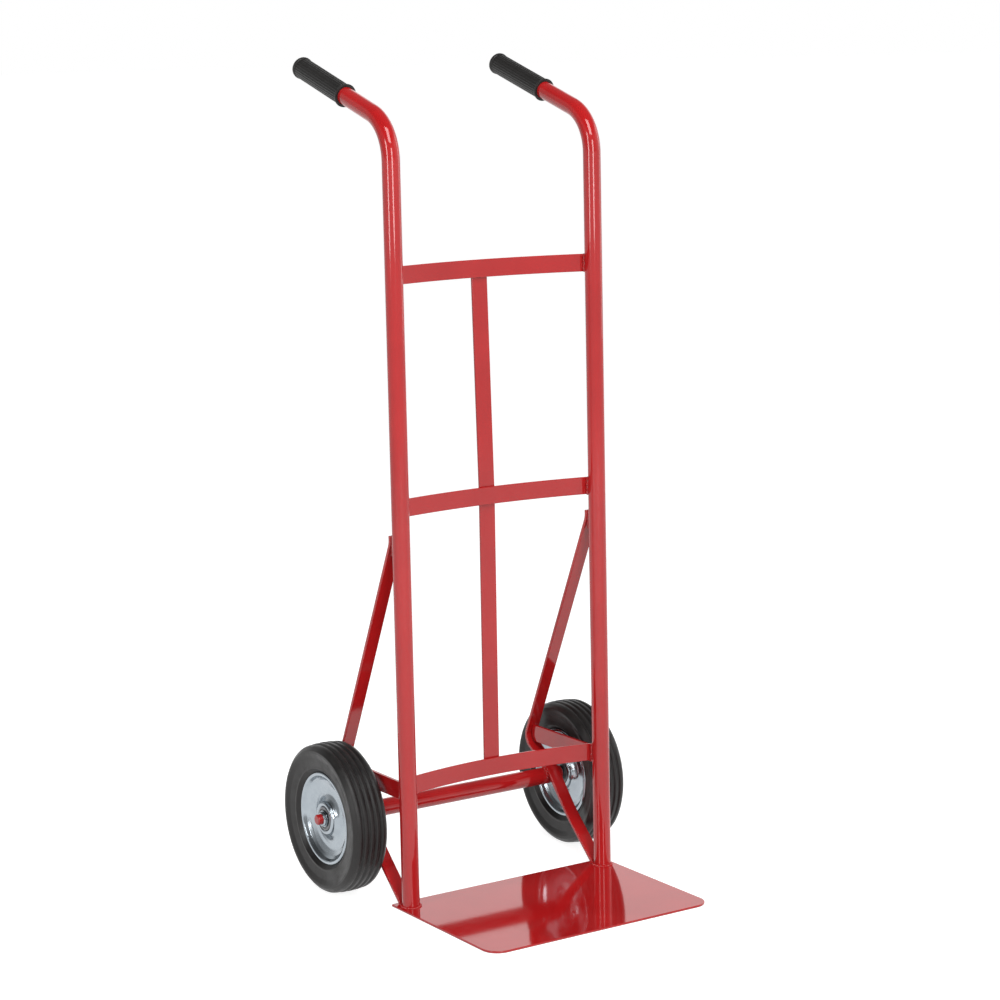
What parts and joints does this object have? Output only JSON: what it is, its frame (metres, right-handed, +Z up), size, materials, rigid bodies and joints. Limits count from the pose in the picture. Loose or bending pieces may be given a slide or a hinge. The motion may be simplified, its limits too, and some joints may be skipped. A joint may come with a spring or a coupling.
{
  "type": "hand truck",
  "caption": "Upright hand truck with a flat toe plate, bowed crossbars, swept-back closed grips and free-spinning rubber-tyred wheels.",
  "frame": {"origin": "on the floor, under the middle of the truck's bounding box, with the toe plate and both wheels standing on z = 0", "axes": "+Z up; -Y towards the front of the toe plate, +Y towards the handles and wheels; the axle runs along X, and the left wheel is on -X"},
  "size_m": [0.468, 0.4824, 1.1755],
  "materials": {
    "frame_paint": "gloss red powder coat",
    "tyre_rubber": "matte black rubber",
    "grip_plastic": "ribbed soft black plastic",
    "zinc_plate": "bright zinc plate",
    "bearing_steel": "dark oiled steel"
  },
  "bodies": {
    "frame": {"toe_plate": "frame_paint", "upright_left": "frame_paint", "upright_right": "frame_paint", "lower_crossbar": "frame_paint", "middle_crossbar": "frame_paint", "upper_crossbar": "frame_paint", "centre_strap": "frame_paint", "brace_left": "frame_paint", "brace_right": "frame_paint", "strut_left": "frame_paint", "strut_right": "frame_paint", "axle_tube": "frame_paint", "axle": "frame_paint", "grip_left": "grip_plastic", "grip_right": "grip_plastic", "thrust_washer_left": "zinc_plate", "thrust_washer_right": "zinc_plate", "flat_washer_left": "zinc_plate", "flat_washer_right": "zinc_plate", "push_nut_left": "zinc_plate", "push_nut_right": "zinc_plate"},
    "left_wheel": {"tyre_left": "tyre_rubber", "rim_outer_left": "zinc_plate", "rim_inner_left": "zinc_plate", "hub_left": "bearing_steel", "bearing_outer_left": "bearing_steel", "bearing_inner_left": "bearing_steel", "bearing_spacer_left": "bearing_steel"},
    "right_wheel": {"tyre_right": "tyre_rubber", "rim_outer_right": "zinc_plate", "rim_inner_right": "zinc_plate", "hub_right": "bearing_steel", "bearing_outer_right": "bearing_steel", "bearing_inner_right": "bearing_steel", "bearing_spacer_right": "bearing_steel"}
  },
  "joints": [
    {"name": "left_wheel_spin", "type": "hinge", "parent": "frame", "child": "left_wheel", "pos_m": [-0.2035, 0.1339, 0.10729], "axis": [1, 0, 0], "continuous": true},
    {"name": "right_wheel_spin", "type": "hinge", "parent": "frame", "child": "right_wheel", "pos_m": [0.2035, 0.1339, 0.10729], "axis": [1, 0, 0], "continuous": true}
  ]
}
